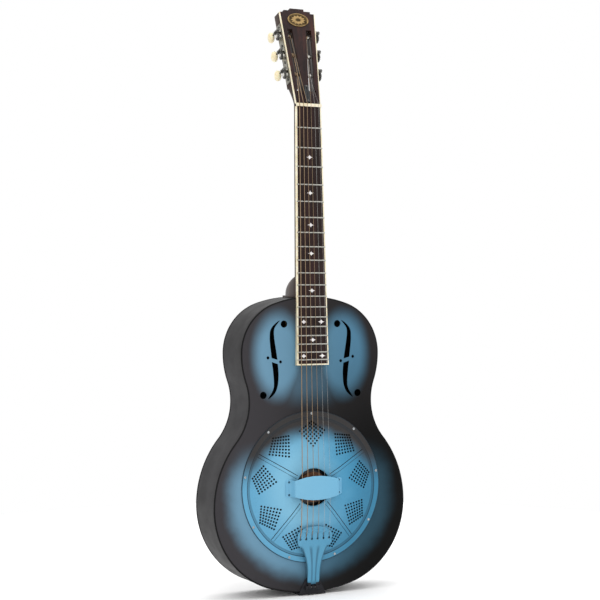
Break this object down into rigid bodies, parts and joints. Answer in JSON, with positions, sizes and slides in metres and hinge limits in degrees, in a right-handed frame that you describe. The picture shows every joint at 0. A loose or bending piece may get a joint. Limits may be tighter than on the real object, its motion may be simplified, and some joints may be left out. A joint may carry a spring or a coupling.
{
  "type": "resonator guitar",
  "caption": "Steel-bodied resonator guitar with a spun cone under a pierced coverplate, an arched hand rest, a slotted head with geared tuners and a dark bound neck.",
  "frame": {"origin": "centre line of the instrument at the tail end of the steel body, half way through the body's depth", "axes": "+Z runs from the tail up the body towards the head, +X is the treble side seen from the front, and the front plate faces -Y"},
  "size_m": [0.3496, 0.1089, 0.9866],
  "materials": {
    "body_paint": "matt paint on steel, shaded from blue-grey to charcoal",
    "cover_paint": "satin light blue paint on steel",
    "plated_well": "zinc plated",
    "spun_cone": "spun with fine rings",
    "maple": "plain oiled maple",
    "stick_wood": "unfinished",
    "bright_metal": "polished nickel",
    "dark_metal": "darkened steel",
    "neck_wood": "dark stained mahogany, satin",
    "rosewood": "oiled rosewood",
    "cream_plastic": "aged cream",
    "pearl": "pearl figure",
    "badge_metal": "stamped, darkened ground",
    "black_plastic": "satin",
    "tuner_plate_metal": "aged nickel plate",
    "bronze_string": "bronze wound",
    "steel_string": "plain steel",
    "button_plastic": "aged cream, polished"
  },
  "bodies": {
    "guitar": {"body_top": "body_paint", "body_sides": "body_paint", "body_back": "body_paint", "soundwell": "plated_well", "resonator_cone": "spun_cone", "biscuit": "maple", "saddle": "maple", "biscuit_screw": "bright_metal", "coverplate": "cover_paint", "coverplate_screws": "bright_metal", "hand_rest": "cover_paint", "hand_rest_screws": "bright_metal", "tailpiece": "cover_paint", "tailpiece_pin": "dark_metal", "tailpiece_bracket": "body_paint", "bracket_screws": "dark_metal", "neck": "neck_wood", "neck_stick": "stick_wood", "stick_blocks": "stick_wood", "neck_bolts": "dark_metal", "fretboard": "rosewood", "fretboard_binding": "cream_plastic", "frets": "bright_metal", "inlays": "pearl", "nut": "cream_plastic", "head_veneer": "rosewood", "head_binding": "cream_plastic", "head_badge": "badge_metal", "truss_rod": "dark_metal", "truss_cover": "black_plastic", "tuner_plate_bass": "tuner_plate_metal", "tuner_plate_treble": "tuner_plate_metal", "head_screws": "bright_metal", "wound_strings": "bronze_string", "plain_strings": "steel_string"},
    "knob_e_low": {"worm_e_low": "dark_metal", "button_e_low": "button_plastic"},
    "winder_e_low": {"roller_e_low": "bright_metal", "gear_e_low": "dark_metal"},
    "knob_a": {"worm_a": "dark_metal", "button_a": "button_plastic"},
    "winder_a": {"roller_a": "bright_metal", "gear_a": "dark_metal"},
    "knob_d": {"worm_d": "dark_metal", "button_d": "button_plastic"},
    "winder_d": {"roller_d": "bright_metal", "gear_d": "dark_metal"},
    "knob_g": {"worm_g": "dark_metal", "button_g": "button_plastic"},
    "winder_g": {"roller_g": "bright_metal", "gear_g": "dark_metal"},
    "knob_b": {"worm_b": "dark_metal", "button_b": "button_plastic"},
    "winder_b": {"roller_b": "bright_metal", "gear_b": "dark_metal"},
    "knob_e_high": {"worm_e_high": "dark_metal", "button_e_high": "button_plastic"},
    "winder_e_high": {"roller_e_high": "bright_metal", "gear_e_high": "dark_metal"},
    "truss_adjuster": {"truss_nut": "bright_metal"}
  },
  "joints": [
    {"name": "knob_turn_e_low", "type": "hinge", "parent": "guitar", "child": "knob_e_low", "pos_m": [-0.03303, -0.00765, 0.8739], "axis": [0, 0.9646, -0.2639], "continuous": true},
    {"name": "winder_turn_e_low", "type": "hinge", "parent": "guitar", "child": "winder_e_low", "pos_m": [-0.02631, -0.00993, 0.86559], "axis": [-0.9982, -0.0156, -0.0571], "continuous": true},
    {"name": "knob_turn_a", "type": "hinge", "parent": "guitar", "child": "knob_a", "pos_m": [-0.0351, 0.00157, 0.9076], "axis": [0, 0.9646, -0.2639], "continuous": true},
    {"name": "winder_turn_a", "type": "hinge", "parent": "guitar", "child": "winder_a", "pos_m": [-0.02838, -0.00071, 0.89929], "axis": [-0.9982, -0.0156, -0.0571], "continuous": true},
    {"name": "knob_turn_d", "type": "hinge", "parent": "guitar", "child": "knob_d", "pos_m": [-0.03718, 0.01079, 0.9413], "axis": [0, 0.9646, -0.2639], "continuous": true},
    {"name": "winder_turn_d", "type": "hinge", "parent": "guitar", "child": "winder_d", "pos_m": [-0.03045, 0.00851, 0.93299], "axis": [-0.9982, -0.0156, -0.0571], "continuous": true},
    {"name": "knob_turn_g", "type": "hinge", "parent": "guitar", "child": "knob_g", "pos_m": [0.03718, 0.01079, 0.9413], "axis": [0, 0.9646, -0.2639], "continuous": true},
    {"name": "winder_turn_g", "type": "hinge", "parent": "guitar", "child": "winder_g", "pos_m": [0.03045, 0.00851, 0.93299], "axis": [0.9982, -0.0156, -0.0571], "continuous": true},
    {"name": "knob_turn_b", "type": "hinge", "parent": "guitar", "child": "knob_b", "pos_m": [0.0351, 0.00157, 0.9076], "axis": [0, 0.9646, -0.2639], "continuous": true},
    {"name": "winder_turn_b", "type": "hinge", "parent": "guitar", "child": "winder_b", "pos_m": [0.02838, -0.00071, 0.89929], "axis": [0.9982, -0.0156, -0.0571], "continuous": true},
    {"name": "knob_turn_e_high", "type": "hinge", "parent": "guitar", "child": "knob_e_high", "pos_m": [0.03303, -0.00765, 0.8739], "axis": [0, 0.9646, -0.2639], "continuous": true},
    {"name": "winder_turn_e_high", "type": "hinge", "parent": "guitar", "child": "winder_e_high", "pos_m": [0.02631, -0.00993, 0.86559], "axis": [0.9982, -0.0156, -0.0571], "continuous": true},
    {"name": "truss_nut_turn", "type": "hinge", "parent": "guitar", "child": "truss_adjuster", "pos_m": [0, -0.02546, 0.81799], "axis": [0, 0.0332, 0.9995], "range_deg": [-360, 360]}
  ],
  "couplings": [
    {"joint": "winder_turn_e_low", "follows": "knob_turn_e_low", "ratio": -0.071429},
    {"joint": "winder_turn_a", "follows": "knob_turn_a", "ratio": -0.071429},
    {"joint": "winder_turn_d", "follows": "knob_turn_d", "ratio": -0.071429},
    {"joint": "winder_turn_g", "follows": "knob_turn_g", "ratio": -0.071429},
    {"joint": "winder_turn_b", "follows": "knob_turn_b", "ratio": -0.071429},
    {"joint": "winder_turn_e_high", "follows": "knob_turn_e_high", "ratio": -0.071429}
  ]
}
